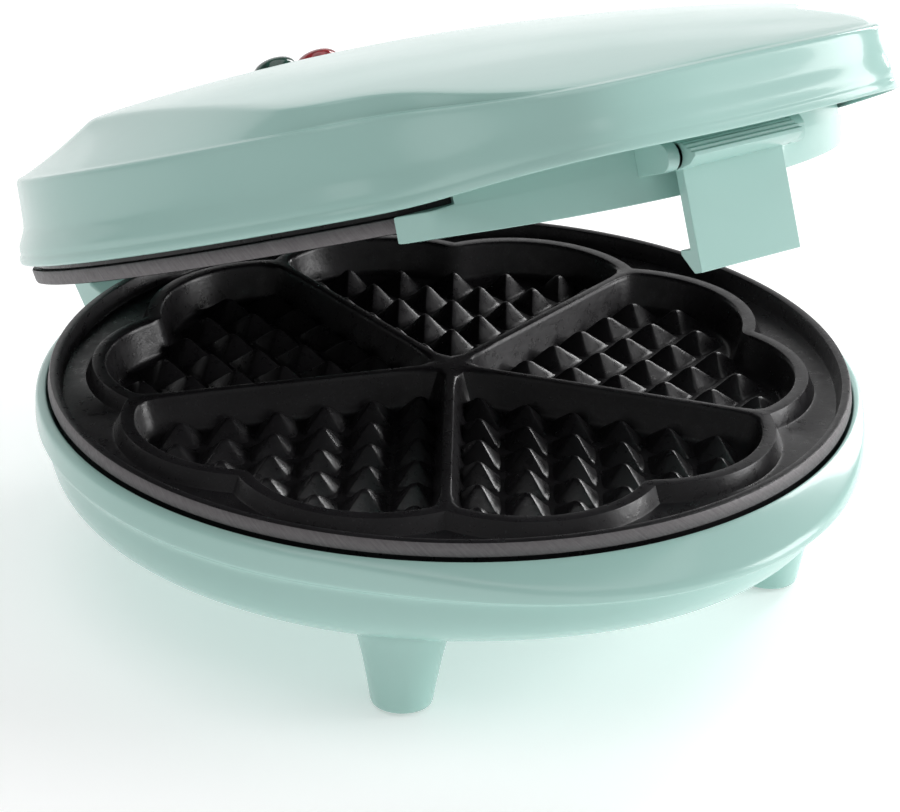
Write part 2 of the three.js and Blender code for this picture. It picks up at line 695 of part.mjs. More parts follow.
// The origin is under the middle of the whole object's box, on the surface it stands on.
const waffleMaker = new THREE.Group();
waffleMaker.add(base, lidTurn);
waffleMaker.updateMatrixWorld(true);
const extent = new THREE.Box3().setFromObject(waffleMaker, true);
waffleMaker.position.set(0, -(extent.min.y + extent.max.y) / 2, 0);

export default waffleMaker;
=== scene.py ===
"""Looks of the heart waffle maker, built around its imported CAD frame.

Shapes are written in millimetres about the middle of the lower plate, with the front towards -Y and the
lid closed. base_point() puts such a point in the row frame in metres, and lid_point() also turns it open
with the lid.
"""

import json
import math

import bmesh
import bpy
from mathutils import Matrix, Vector


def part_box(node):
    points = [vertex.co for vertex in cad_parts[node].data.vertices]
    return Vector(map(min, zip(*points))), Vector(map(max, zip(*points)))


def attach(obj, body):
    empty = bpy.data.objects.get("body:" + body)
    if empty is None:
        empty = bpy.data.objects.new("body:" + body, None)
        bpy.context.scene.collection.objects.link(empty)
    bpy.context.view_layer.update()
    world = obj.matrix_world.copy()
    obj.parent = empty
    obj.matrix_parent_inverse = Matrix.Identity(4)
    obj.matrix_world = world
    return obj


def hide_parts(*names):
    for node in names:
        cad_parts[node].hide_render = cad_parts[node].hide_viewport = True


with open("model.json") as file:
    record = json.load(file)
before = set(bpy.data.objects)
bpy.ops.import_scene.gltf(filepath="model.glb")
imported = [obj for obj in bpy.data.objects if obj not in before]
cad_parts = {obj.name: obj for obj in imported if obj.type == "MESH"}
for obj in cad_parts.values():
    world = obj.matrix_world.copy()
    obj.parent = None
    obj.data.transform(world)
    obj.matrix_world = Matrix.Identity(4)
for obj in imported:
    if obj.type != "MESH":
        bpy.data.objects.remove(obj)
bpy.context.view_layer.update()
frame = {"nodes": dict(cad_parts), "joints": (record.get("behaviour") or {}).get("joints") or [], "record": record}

MM = 0.001

# ---- sizes taken from the frame ----
plate_low, plate_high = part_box("lower_plate")
MIDDLE = (plate_low + plate_high) / 2
PLATE_R = (plate_high.x - plate_low.x) / 2 / MM
RIM_Z = plate_high.z / MM
RIDGE_Z = RIM_Z - 0.8
SEAM_Z = RIDGE_Z + 1
PLATE_BACK_Z = plate_low.z / MM

lid_hinge = next(joint for joint in frame["joints"] if joint["name"] == "lid_hinge")
HINGE = Vector(lid_hinge["pos_m"])
OPEN_ANGLE = math.radians(-min(lid_hinge["range_deg"]))
HINGE_Y = (HINGE.y - MIDDLE.y) / MM
HINGE_Z = HINGE.z / MM

# ---- driving sizes ----
WALL = 2.4
LIP_CENTRE_Y = -28.5
LIP_FRONT = 106.5
LID_R = 94.4
HANDLE_HALF = 57
HANDLE_FRONT = 122.5
HANDLE_POWER = 5
TOP_Z = RIDGE_Z + 39.5
TOP_SLOPE = 0.047
TOP_INSET = 2.1
CROWN_FRONT = 5.6 / PLATE_R ** 2
CROWN_REAR = 13 / PLATE_R ** 2
CROWN_X = 7.5 / PLATE_R ** 2
CREST_SIDE = 71
CREST_REAR = 48
LID_EDGE_Z = RIDGE_Z + 5.8
LID_RIM_Z = RIDGE_Z + 25.6
OUTLINE_STEPS = 120
BEVEL_SEGMENTS = 3
ROUND_STEPS = 48

HEARTS = 5
HEART_STEP = 2 * math.pi / HEARTS
HALF_STEP = HEART_STEP / 2
LOBE_CENTRE = 53
RIDGE_LOBE_R = 32
RIDGE_LAND = 3.2
SEPARATOR = 1.1
POCKET_DEPTH = 9
POCKET_DRAFT = 2.2
STUD_PITCH = 11.5
STUD_SIDE = 8.6
STUD_CORNER = 2 / 1.22
STUD_STEPS = 24
CHANNEL_Z = RIDGE_Z - 3.9

LAMP_Y = 55
LAMP_SINK = 2.3
LAMP_TILT = math.radians(-16)

LATCH_Y = -112
LATCH_Z = 54
LATCH_HALF = 13.3

LID_TURN = (
    Matrix.Translation(HINGE) @ Matrix.Rotation(-OPEN_ANGLE, 4, "X") @ Matrix.Translation(-HINGE)
)


def base_point(x, y, z):
    return Vector((x * MM, y * MM + MIDDLE.y, z * MM))


def lid_point(x, y, z):
    return LID_TURN @ base_point(x, y, z)


def over_point(x, y, z):
    """A point of the lower plate turned over about the seam, to serve in the lid."""
    return lid_point(-x, y, 2 * SEAM_Z - z)


# ---- materials ----
class Finish:
    """A procedural material: a Principled shader with a few helpers to feed its sockets."""

    def __init__(self, name, roughness, **sockets):
        self.material = bpy.data.materials.new(name)
        self.material.use_nodes = True
        self.nodes = self.material.node_tree.nodes
        self.links = self.material.node_tree.links
        self.shader = self.nodes["Principled BSDF"]
        self.shader.inputs["Roughness"].default_value = roughness
        for socket, value in sockets.items():
            self.shader.inputs[socket.replace("_", " ")].default_value = value
        self.place = self.nodes.new("ShaderNodeTexCoord").outputs["Object"]
        self.bumps = None

    def noise(self, scale, detail=4, rough=0.55, place=None):
        node = self.nodes.new("ShaderNodeTexNoise")
        node.inputs["Scale"].default_value = scale
        node.inputs["Detail"].default_value = detail
        node.inputs["Roughness"].default_value = rough
        self.links.new(place or self.place, node.inputs["Vector"])
        return node.outputs["Fac"]

    def ramp(self, factor, *stops):
        node = self.nodes.new("ShaderNodeValToRGB")
        elements = node.color_ramp.elements
        while len(elements) < len(stops):
            elements.new(0.5)
        for element, (at, colour) in zip(elements, stops):
            element.position = at
            element.color = (*colour, 1)
        self.links.new(factor, node.inputs["Fac"])
        return node.outputs["Color"]

    def spread(self, factor, low, high, start=0.3, end=0.7):
        node = self.nodes.new("ShaderNodeMapRange")
        node.inputs["From Min"].default_value = start
        node.inputs["From Max"].default_value = end
        node.inputs["To Min"].default_value = low
        node.inputs["To Max"].default_value = high
        self.links.new(factor, node.inputs["Value"])
        return node.outputs["Result"]

    def maths(self, operation, first, second):
        node = self.nodes.new("ShaderNodeMath")
        node.operation = operation
        for socket, value in zip(node.inputs, (first, second)):
            if isinstance(value, (int, float)):
                socket.default_value = value
            else:
                self.links.new(value, socket)
        return node.outputs["Value"]

    def mix(self, factor, first, second):
        node = self.nodes.new("ShaderNodeMix")
        node.data_type = "RGBA"
        self.links.new(factor, node.inputs["Factor"])
        for name, value in (("A", first), ("B", second)):
            socket = next(s for s in node.inputs if s.name == name and s.type == "RGBA")
            if isinstance(value, tuple):
                socket.default_value = (*value, 1)
            else:
                self.links.new(value, socket)
        return next(s for s in node.outputs if s.type == "RGBA")

    def feed(self, socket, output):
        self.links.new(output, self.shader.inputs[socket])

    def bump(self, height, strength, distance):
        node = self.nodes.new("ShaderNodeBump")
        node.inputs["Strength"].default_value = strength
        node.inputs["Distance"].default_value = distance
        self.links.new(height, node.inputs["Height"])
        if self.bumps:
            self.links.new(self.bumps, node.inputs["Normal"])
        self.bumps = node.outputs["Normal"]
        self.feed("Normal", self.bumps)


def mint_plastic():
    """Glossy moulded plastic: faint colour drift, uneven polish and a fine orange peel."""
    finish = Finish("mint_plastic", 0.25, Coat_Weight=0.3, Coat_Roughness=0.06, IOR=1.48)
    finish.feed("Base Color", finish.ramp(finish.noise(9, 3), (0.3, MINT_DEEP), (0.7, MINT_PALE)))
    finish.feed("Roughness", finish.spread(finish.noise(30, 3), 0.2, 0.27))
    finish.bump(finish.noise(260, 2), 0.02, 0.0001)
    return finish.material


def non_stick():
    """Cast aluminium under a black coating: a fine fleck, cloudy shade and a sanded grain."""
    finish = Finish("non_stick_coating", 0.42, Metallic=0.1)
    body = finish.ramp(finish.noise(60, 4), (0.3, (0.014, 0.013, 0.0145)), (0.7, (0.025, 0.0235, 0.026)))
    fleck = finish.spread(finish.noise(1500, 2, 0.7), 0, 0.4, 0.64, 0.74)
    finish.feed("Base Color", finish.mix(fleck, body, (0.11, 0.11, 0.12)))
    finish.feed("Roughness", finish.spread(finish.noise(420, 5), 0.24, 0.38))
    finish.bump(finish.noise(900, 4, 0.6), 0.25, 0.0002)
    return finish.material


def sanded_edge():
    """The plates' outer wall, where the coating is thin over the turned casting: grey, slanting marks."""
    finish = Finish("sanded_plate_edge", 0.5, Metallic=0.35)
    split = finish.nodes.new("ShaderNodeSeparateXYZ")
    finish.links.new(finish.place, split.inputs["Vector"])
    around = finish.maths("ARCTAN2", split.outputs["Y"], split.outputs["X"])
    run = finish.maths("MULTIPLY", around, PLATE_R * MM)
    slant = finish.maths("ADD", run, finish.maths("MULTIPLY", split.outputs["Z"], 1.1))
    join = finish.nodes.new("ShaderNodeCombineXYZ")
    finish.links.new(finish.maths("MULTIPLY", slant, 9), join.inputs["X"])
    finish.links.new(split.outputs["Z"], join.inputs["Y"])
    marks = finish.noise(150, 4, 0.7, join.outputs["Vector"])
    finish.feed("Base Color", finish.ramp(marks, (0.35, (0.13, 0.12, 0.125)), (0.75, (0.2, 0.19, 0.195))))
    finish.feed("Roughness", finish.spread(finish.noise(900, 4), 0.42, 0.62))
    finish.bump(marks, 0.2, 0.0001)
    finish.bump(finish.noise(1600, 3), 0.35, 0.0002)
    return finish.material


def brushed_metal(name, dark, pale, roughness, stretch=12):
    """Drawn or rolled metal with fine lines along one direction and stains of uneven polish."""
    finish = Finish(name, roughness, Metallic=1.0)
    mapping = finish.nodes.new("ShaderNodeMapping")
    mapping.inputs["Scale"].default_value = (1, stretch, stretch)
    finish.links.new(finish.place, mapping.inputs["Vector"])
    lines = finish.noise(160, 4, 0.6, mapping.outputs["Vector"])
    finish.feed("Base Color", finish.ramp(finish.noise(70, 4), (0.3, dark), (0.7, pale)))
    finish.feed("Roughness", finish.spread(lines, roughness - 0.08, roughness + 0.12))
    finish.bump(lines, 0.12, 0.0001)
    return finish.material


def moulded(name, dark, pale, roughness, grain, grain_strength=0.2):
    """Plain moulded or fired stuff: two close shades and a fine surface grain."""
    finish = Finish(name, roughness)
    finish.feed("Base Color", finish.ramp(finish.noise(120, 4), (0.3, dark), (0.7, pale)))
    finish.feed("Roughness", finish.spread(finish.noise(500, 3), roughness - 0.05, roughness + 0.08))
    finish.bump(finish.noise(grain, 4), grain_strength, 0.0002)
    return finish.material


def woven_sleeve():
    """Glass-fibre sleeving: a fine basket weave from two crossed waves."""
    finish = Finish("glass_sleeve", 0.8)
    waves = []
    for direction in ("X", "Z"):
        node = finish.nodes.new("ShaderNodeTexWave")
        node.bands_direction = direction
        node.inputs["Scale"].default_value = 420
        finish.links.new(finish.place, node.inputs["Vector"])
        waves.append(node.outputs["Fac"])
    weave = finish.maths("MULTIPLY", *waves)
    finish.feed("Base Color", finish.ramp(weave, (0.1, (0.5, 0.47, 0.4)), (0.8, (0.82, 0.8, 0.73))))
    finish.bump(weave, 0.5, 0.0003)
    return finish.material


def lens_plastic(name, deep, bright):
    """Clear tinted plastic with a prismatic pattern moulded inside it."""
    finish = Finish(name, 0.12, Transmission_Weight=0.35, Coat_Weight=0.6, Coat_Roughness=0.04)
    cells = finish.nodes.new("ShaderNodeTexVoronoi")
    cells.inputs["Scale"].default_value = 700
    finish.links.new(finish.place, cells.inputs["Vector"])
    finish.feed("Base Color", finish.ramp(cells.outputs["Distance"], (0.1, deep), (0.8, bright)))
    finish.feed("Roughness", finish.spread(finish.noise(300, 3), 0.08, 0.2))
    finish.bump(cells.outputs["Distance"], 0.12, 0.0002)
    return finish.material


def floor_finish():
    """A nearly white matt floor that glows a little, as a lit studio sweep does."""
    finish = Finish("pale_floor", 0.7, Emission_Color=(1, 1, 1, 1), Emission_Strength=0.34)
    drift = finish.noise(3, 3)
    finish.feed("Base Color", finish.ramp(drift, (0.3, (0.9, 0.9, 0.9)), (0.7, (0.93, 0.93, 0.93))))
    return finish.material


MINT_DEEP = (0.42, 0.665, 0.61)
MINT_PALE = (0.45, 0.69, 0.64)

SANDED_EDGE = sanded_edge()

FINISHES = {
    "mint_shell": mint_plastic(),
    "non_stick_plate": non_stick(),
    "element_sheath": brushed_metal("element_sheath", (0.09, 0.085, 0.08), (0.16, 0.15, 0.14), 0.5),
    "tin_plate": brushed_metal("tin_plate", (0.5, 0.51, 0.52), (0.62, 0.62, 0.61), 0.34),
    "steel": brushed_metal("steel", (0.45, 0.46, 0.47), (0.6, 0.6, 0.61), 0.28, 30),
    "black_plastic": moulded("black_plastic", (0.012, 0.012, 0.013), (0.02, 0.02, 0.021), 0.48, 900),
    "ceramic_block": moulded("ceramic", (0.66, 0.63, 0.57), (0.76, 0.74, 0.69), 0.55, 1400, 0.3),
    "fuse_sleeve": woven_sleeve(),
    "foot_rubber": moulded("foot_rubber", (0.33, 0.47, 0.43), (0.38, 0.52, 0.48), 0.75, 1100, 0.35),
    "red_lens": lens_plastic("red_lens_plastic", (0.22, 0.006, 0.012), (0.5, 0.02, 0.03)),
    "green_lens": lens_plastic("green_lens_plastic", (0.002, 0.03, 0.022), (0.01, 0.09, 0.06)),
    "lamp_glass": brushed_metal("lamp_caps", (0.5, 0.36, 0.12), (0.68, 0.5, 0.2), 0.3),
}


# ---- mesh helpers ----
class Body:
    """Vertices in millimetres and faces of one or more closed bodies, built up before the mesh is made."""

    def __init__(self):
        self.points = []
        self.faces = []
        self.sanded = []

    def add(self, points, faces, sanded=False):
        """Adds points and faces. Sanded faces take the second finish of the piece."""
        first = len(self.points)
        self.points.extend(points)
        self.faces.extend([first + i for i in face] for face in faces)
        self.sanded.extend([int(sanded)] * len(faces))

    def loft(self, rings, fans=True):
        """A closed body through rings that run anticlockwise seen from where the last ring lies."""
        count = len(rings[0])
        points = [point for ring in rings for point in ring]
        faces = []
        for level in range(len(rings) - 1):
            for i in range(count):
                a = level * count + i
                b = level * count + (i + 1) % count
                faces.append([a, b, b + count, a + count])
        last = (len(rings) - 1) * count
        if fans:
            for ring, order in ((0, -1), (last, 1)):
                middle = len(points)
                loop = points[ring:ring + count]
                points.append(tuple(sum(p[axis] for p in loop) / count for axis in range(3)))
                for i in range(count):
                    face = [ring + i, ring + (i + 1) % count, middle]
                    faces.append(face[::order])
        else:
            faces.append(list(range(count))[::-1])
            faces.append([last + i for i in range(count)])
        self.add(points, faces)

    def piece(self, name, body, place, slot, replaces=(), sharp=32, subdivide=0, bevel=0.0):
        """Makes the object, in metres, gives it its body and finish, and hides the CAD nodes it stands for."""
        mesh = bpy.data.meshes.new(name)
        mesh.from_pydata([place(*point) for point in self.points], [], self.faces)
        mesh.polygons.foreach_set("material_index", self.sanded)
        work = bmesh.new()
        work.from_mesh(mesh)
        bmesh.ops.remove_doubles(work, verts=work.verts, dist=0.00001)
        bmesh.ops.recalc_face_normals(work, faces=work.faces)
        work.to_mesh(mesh)
        work.free()
        mesh.polygons.foreach_set("use_smooth", [True] * len(mesh.polygons))
        made = bpy.data.objects.new(name, mesh)
        bpy.context.scene.collection.objects.link(made)
        if bevel:
            round_edges = made.modifiers.new("rounded edges", "BEVEL")
            round_edges.width = bevel * MM
            round_edges.segments = BEVEL_SEGMENTS
            round_edges.angle_limit = math.radians(30)
            round_edges.harden_normals = True
        if subdivide:
            smooth = made.modifiers.new("smooth", "SUBSURF")
            smooth.levels = subdivide
            smooth.render_levels = subdivide
        if sharp and not subdivide:
            mesh.set_sharp_from_angle(angle=math.radians(sharp))
        mesh.materials.append(FINISHES[slot])
        if any(self.sanded):
            mesh.materials.append(SANDED_EDGE)
        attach(made, body)
        if replaces:
            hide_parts(*replaces)
        return made


def arc(centre_a, centre_b, r, start, end, steps):
    """Points on a circle in a plane, its angles in degrees."""
    points = []
    for i in range(steps + 1):
        turn = math.radians(start + (end - start) * i / steps)
        points.append((centre_a + r * math.cos(turn), centre_b + r * math.sin(turn)))
    return points


def lathe_rings(profile, steps, x=0.0, y=0.0, z=0.0):
    """Rings about an upright axis, one for each (r, height) of the profile."""
    rings = []
    for r, height in profile:
        turns = [2 * math.pi * i / steps for i in range(steps)]
        rings.append([(x + r * math.cos(t), y + r * math.sin(t), z + height) for t in turns])
    return rings


def prism_rings(outline, x0, x1):
    """Two rings for a prism along X of an outline of (y, z) points."""
    return [[(x0, y, z) for y, z in outline], [(x1, y, z) for y, z in outline]]


# ---- plan outlines: distance from the middle at an angle from the front, towards +X ----
def smooth_max(a, b, k):
    h = max(k - abs(a - b), 0)
    return max(a, b) + h * h / (4 * k)


def smooth_min(a, b, k):
    return -smooth_max(-a, -b, k)


def offset_circle(angle, reach):
    """A circle about a point in front of the middle, which comes as far forward as reach."""
    centre = -LIP_CENTRE_Y
    r = reach - centre
    return centre * math.cos(angle) + math.sqrt(r * r - (centre * math.sin(angle)) ** 2)


def handle_outline(angle, r, half, reach):
    """A circle with a squarish handle at its front, half wide on either side of the middle line."""
    if math.cos(angle) <= 0:
        return r
    side = abs(math.sin(angle) / half) ** HANDLE_POWER
    front = (math.cos(angle) / reach) ** HANDLE_POWER
    return smooth_max(r, (side + front) ** (-1 / HANDLE_POWER), 10)


def crest_outline(angle):
    """The edge of the lid's raised top: cut straight along its sides and its rear slope."""
    limit = handle_outline(angle, LID_R - TOP_INSET, HANDLE_HALF - TOP_INSET, HANDLE_FRONT - TOP_INSET)
    side = CREST_SIDE / max(abs(math.sin(angle)), 0.05)
    rear = CREST_REAR / max(-math.cos(angle), 0.05)
    return smooth_min(smooth_min(side, rear, 60), limit, 6)


def top_at(x, y):
    """Height of the lid's crowned top."""
    crown = CROWN_FRONT if y < 0 else CROWN_REAR
    return TOP_Z + TOP_SLOPE * y - crown * y * y - CROWN_X * x * x


def ring(radius_at, height_at):
    points = []
    for i in range(OUTLINE_STEPS):
        angle = 2 * math.pi * i / OUTLINE_STEPS
        r = radius_at(angle)
        x = r * math.sin(angle)
        y = -r * math.cos(angle)
        points.append((x, y, height_at(r, x, y)))
    return points


def round_ring(r, z):
    return ring(lambda angle: r, lambda rho, x, y: z)


def base_ring(r, reach, z, front_z=None):
    front_z = z if front_z is None else front_z
    slope = (front_z - z) / (reach - r) if reach > r else 0
    return ring(
        lambda angle: smooth_max(r, offset_circle(angle, reach), 6),
        lambda rho, x, y: z + slope * max(rho - r, 0),
    )


def lid_ring(r, half, reach, z, front_z):
    slope = (front_z - z) / (reach - r)
    return ring(
        lambda angle: handle_outline(angle, r, half, reach),
        lambda rho, x, y: z + slope * max(rho - r, 0),
    )


def crest_ring(share, inset, drop):
    return ring(
        lambda angle: share * crest_outline(angle) - inset,
        lambda rho, x, y: top_at(x, y) - drop,
    )


# ---- the lid's shell ----
def skirt_ring(out, up, front_up=None):
    """A ring of the lid's skirt: how far out from the wall, and how high over the lower edge."""
    front_up = up + 3.8 if front_up is None else front_up
    return lid_ring(
        LID_R + out, HANDLE_HALF - 0.6 + out * 0.4, HANDLE_FRONT + out * 0.5,
        LID_EDGE_Z + up, LID_EDGE_Z + front_up,
    )


def rim_ring(inset, drop):
    return lid_ring(
        LID_R - inset, HANDLE_HALF - 0.6 - inset, HANDLE_FRONT - inset,
        LID_RIM_Z - drop, LID_RIM_Z - drop - 1.5,
    )


def between(first, second, share, sink):
    """The ring a share of the way from one ring to another, sunk by a share of the span between them."""
    made = []
    for a, b in zip(first, second):
        x, y, z = (p + (q - p) * share for p, q in zip(a, b))
        made.append((x, y, z - sink * math.dist(a, b)))
    return made


def lid_shell():
    """The lid and handle, from the middle of its ceiling down, round the skirt and up the outside."""
    shell = Body()
    rim = rim_ring(1.8, 0.05)
    crest = crest_ring(1, 0.8, 0.4)
    inside = [
        crest_ring(0.2, 0, WALL), crest_ring(0.6, 0, WALL), crest_ring(1, 3.4, 3.4),
        lid_ring(LID_R - 2.6, HANDLE_HALF - 4, HANDLE_FRONT - 3, LID_RIM_Z - 3.6, LID_RIM_Z - 5.6),
        lid_ring(LID_R - 0.4, HANDLE_HALF - 2.2, HANDLE_FRONT - 1.6, LID_EDGE_Z + 5, LID_EDGE_Z + 8),
        skirt_ring(1.0, 2.6), skirt_ring(1.05, 0.4), skirt_ring(1.15, 0.1), skirt_ring(1.4, 0.0),
    ]
    outside = [
        skirt_ring(2.2, 0.05), skirt_ring(2.75, 0.3), skirt_ring(2.95, 0.9), skirt_ring(2.9, 1.7),
        skirt_ring(2.5, 2.2), skirt_ring(2.4, 2.6), skirt_ring(2.5, 3.1), skirt_ring(2.5, 4),
        skirt_ring(2.0, 5.2), skirt_ring(1.3, 6.6), skirt_ring(0.7, 7.8), skirt_ring(0.4, 9.2),
        rim_ring(-0.1, 4.2), rim_ring(0.0, 1.7), rim_ring(0.1, 0.95), rim_ring(0.4, 0.4),
        rim_ring(1.0, 0.16), rim, between(rim, crest, 0.12, 0.006), between(rim, crest, 0.35, 0.02),
        between(rim, crest, 0.65, 0.022), between(rim, crest, 0.88, 0.01),
        crest, crest_ring(1, 2.6, 0.2), crest_ring(1, 6, 0.08), crest_ring(0.75, 0, 0.08),
        crest_ring(0.5, 0, 0.08), crest_ring(0.25, 0, 0.08), crest_ring(0.08, 0, 0.08),
    ]
    shell.loft(inside + outside)
    return shell.piece("lid_casing", "lid", lid_point, "mint_shell", ["lid_shell"], subdivide=2)


def knuckle(side):
    """A hinge knuckle that hangs from the lid's rear wall round a hinge pin."""
    x0, x1 = sorted((21.2 * side, 33.2 * side))
    outline = [(98.4, HINGE_Z)] + arc(HINGE_Y, HINGE_Z, 4.1, 200, 360, 18)
    outline += [(HINGE_Y + 4.1, 55.8), (102.9, 60.6), (94, 62), (94, 54), (98.4, 54)]
    body = Body()
    body.loft(prism_rings(outline, x0, x1), fans=False)
    name = "lid_knuckle_left" if side < 0 else "lid_knuckle_right"
    return body.piece(name, "lid", lid_point, "mint_shell", bevel=0.5)


# ---- the base ----
def base_shell():
    """The base's bowl, from the middle of its floor up the inside, over the lip and down the outside."""
    shell = Body()
    inside = [
        round_ring(20, 11.6), round_ring(58, 11.6), round_ring(66, 12.2), round_ring(81, 20.2),
        base_ring(89.2, 91, 25.2), base_ring(92.2, 95.6, 28.6), base_ring(93.3, 98, 37.4),
        round_ring(94.4, 40.6), round_ring(95.15, 42), round_ring(95.35, 44),
    ]
    lip = LIP_FRONT
    outside = [
        round_ring(95.5, 44.35), round_ring(96.1, 44.4), base_ring(96.9, lip - 1.6, 44.1, 39.6),
        base_ring(97.6, lip - 0.9, 43.6, 39.1), base_ring(97.95, lip - 0.3, 42.8, 38.4),
        base_ring(98, lip - 0.1, 41.4, 37.9), base_ring(98.1, lip - 0.15, 38.6, 37.2),
        base_ring(97.9, lip - 0.5, 37.6, 36.6), base_ring(97.2, lip - 1.6, 36.9, 36.1),
        base_ring(96.2, lip - 4.4, 36.2, 35.7), base_ring(95.6, 100.6, 34.8),
        base_ring(95.4, 99.8, 31.5), base_ring(94.5, 98, 27.4), base_ring(92.6, 94.6, 24.4),
        base_ring(88.6, 89.4, 21.4), base_ring(82, 82.4, 17.8), round_ring(74, 13.4),
        round_ring(67, 10.2), round_ring(61.5, 9.3), round_ring(52, 9.2), round_ring(18, 9.2),
    ]
    shell.loft(inside + outside)
    return shell.piece("base_casing", "base", base_point, "mint_shell", ["base_shell"], subdivide=2)


def foot_places():
    """The feet stand where the CAD's rubber pads are."""
    places = []
    for number in range(1, 5):
        low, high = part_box(f"foot_pad_{number}")
        middle = (low + high) / 2
        places.append((number, middle.x / MM, (middle.y - MIDDLE.y) / MM))
    return places


def foot(number, x, y):
    """A hollow tapered leg, a little wider at the top, with a pad set in its end."""
    profile = [
        (3.2, 3.4), (5.3, 3.4), (5.3, 1.3), (5.6, 0.95), (6.3, 0.85), (6.8, 1.1), (7.05, 1.8),
        (7.7, 6), (8.9, 12.5), (10.1, 17.6), (10.8, 20), (11.6, 22), (11.6, 23.4), (3.2, 23.4),
    ]
    leg = Body()
    leg.loft(lathe_rings(profile, ROUND_STEPS, x, y))
    leg.piece(f"foot_leg_{number}", "base", base_point, "mint_shell", sharp=50)
    pad = Body()
    pad.loft(lathe_rings([(1, 0.3), (3, 0.06), (4.2, 0), (4.7, 0.15), (5, 0.6), (5, 2), (2, 2)], 32, x, y))
    pad.piece(f"foot_pad_cap_{number}", "base", base_point, "foot_rubber", [f"foot_pad_{number}"], sharp=50)


def ear(side):
    """A hinge ear that stands on the base's rim behind the plate."""
    x0, x1 = sorted((34.2 * side, 43.8 * side))
    outline = [(84, 36), (99, 36), (HINGE_Y + 4.9, HINGE_Z - 4.4)] + arc(HINGE_Y, HINGE_Z, 5.0, 0, 150, 16)
    outline += [(96.2, 46.2), (95.9, 44), (84, 43)]
    body = Body()
    body.loft(prism_rings(outline, x0, x1), fans=False)
    name = "hinge_ear_left" if side < 0 else "hinge_ear_right"
    return body.piece(name, "base", base_point, "mint_shell", bevel=0.6)


def grommet():
    """The rubber-lipped ring in the rear wall where the supply cord would enter."""
    low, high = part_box("cord_grommet")
    back = (high.y - MIDDLE.y) / MM
    height = (low.z + high.z) / 2 / MM
    profile = [
        (3.4, -11.2), (4.9, -11.2), (5.1, -6.8), (5.1, -1.7), (6.6, -1.6), (6.85, -1.2),
        (6.8, -0.6), (6.2, -0.1), (4.2, -0.1), (3.6, -0.5), (3.35, -1.4),
    ]
    body = Body()
    steps = 40
    rings = []
    for i in range(steps):
        turn = 2 * math.pi * i / steps
        rings.append([(r * math.cos(turn), back + y, height + r * math.sin(turn)) for r, y in profile])
    count = len(profile)
    points = [point for loop in rings for point in loop]
    faces = []
    for i in range(steps):
        for k in range(count):
            a = i * count + k
            b = i * count + (k + 1) % count
            step = ((i + 1) % steps) * count - i * count
            faces.append([a, b, b + step, a + step])
    body.add(points, faces)
    return body.piece("cord_entry_ring", "base", base_point, "black_plastic", ["cord_grommet"], sharp=40)


# ---- the plates ----
def lobe_edge(angle, lobe_r):
    turned = (angle + HALF_STEP) % HEART_STEP - HALF_STEP
    delta = abs(turned) - HEART_STEP / 4
    return LOBE_CENTRE * math.cos(delta) + math.sqrt(lobe_r ** 2 - (LOBE_CENTRE * math.sin(delta)) ** 2)


SIDE_POINTS = 14
ARC_POINTS = 56


def heart_loop(inset, z):
    """A heart's outline, drawn in by inset: its point, a straight side, the lobes, the other side."""
    lobe_r = RIDGE_LOBE_R - RIDGE_LAND - inset
    gap = SEPARATOR + inset
    widest = HALF_STEP - math.asin(gap / lobe_edge(HALF_STEP * 0.96, lobe_r))
    lobes = []
    for i in range(ARC_POINTS + 1):
        angle = widest * (2 * i / ARC_POINTS - 1)
        r = lobe_edge(angle, lobe_r)
        lobes.append((r * math.sin(angle), -r * math.cos(angle)))
    point = (0.0, -gap / math.sin(HALF_STEP))
    return [(x, y, z) for x, y in closed_side(point, lobes)]


def closed_side(point, lobes):
    """Joins the point at the middle to both ends of the lobes by straight sides."""
    out = [
        tuple(p + (q - p) * i / SIDE_POINTS for p, q in zip(point, lobes[0]))
        for i in range(SIDE_POINTS)
    ]
    back = [
        tuple(p + (q - p) * i / SIDE_POINTS for p, q in zip(lobes[-1], point))
        for i in range(1, SIDE_POINTS)
    ]
    return out + lobes + back


def sector_arc(radius_at, z):
    points = []
    for i in range(ARC_POINTS + 1):
        angle = HALF_STEP * (2 * i / ARC_POINTS - 1)
        r = radius_at(angle)
        points.append((r * math.sin(angle), -r * math.cos(angle), z))
    return points


def soften(loop, passes):
    """Rounds the corners of a closed loop by averaging each point with its neighbours."""
    for _ in range(passes):
        count = len(loop)
        loop = [
            tuple((loop[i - 1][k] + 2 * loop[i][k] + loop[(i + 1) % count][k]) / 4 for k in range(3))
            for i in range(count)
        ]
    return loop


def strip(first, second, closed):
    """Faces between two rows of the same number of points."""
    count = len(first)
    points = list(first) + list(second)
    last = count if closed else count - 1
    faces = [[i, (i + 1) % count, (i + 1) % count + count, i + count] for i in range(last)]
    return points, faces


